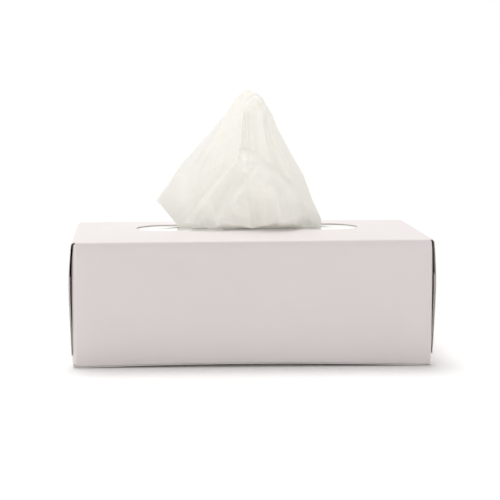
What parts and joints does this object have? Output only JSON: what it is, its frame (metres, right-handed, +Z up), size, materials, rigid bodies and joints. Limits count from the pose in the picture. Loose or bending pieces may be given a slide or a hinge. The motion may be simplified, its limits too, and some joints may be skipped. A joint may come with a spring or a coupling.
{
  "type": "tissue box",
  "caption": "Flat paperboard carton of interfolded facial tissues, with an oval film-lined opening in its top and one tissue standing ready to pull.",
  "frame": {"origin": "middle of the underside, on the surface that the box stands on", "axes": "+X along the box, +Y from the front panel to the back panel, +Z up"},
  "size_m": [0.235, 0.12, 0.1785],
  "materials": {
    "paperboard": "satin white clay-coated paperboard",
    "clear_film": "thin clear glossy film",
    "tissue": "soft matt two-ply facial tissue"
  },
  "bodies": {
    "root": {"carton": "paperboard", "film_window": "clear_film", "tissue_stack": "tissue", "next_tissue": "tissue", "drawn_tissue": "tissue"}
  },
  "joints": []
}
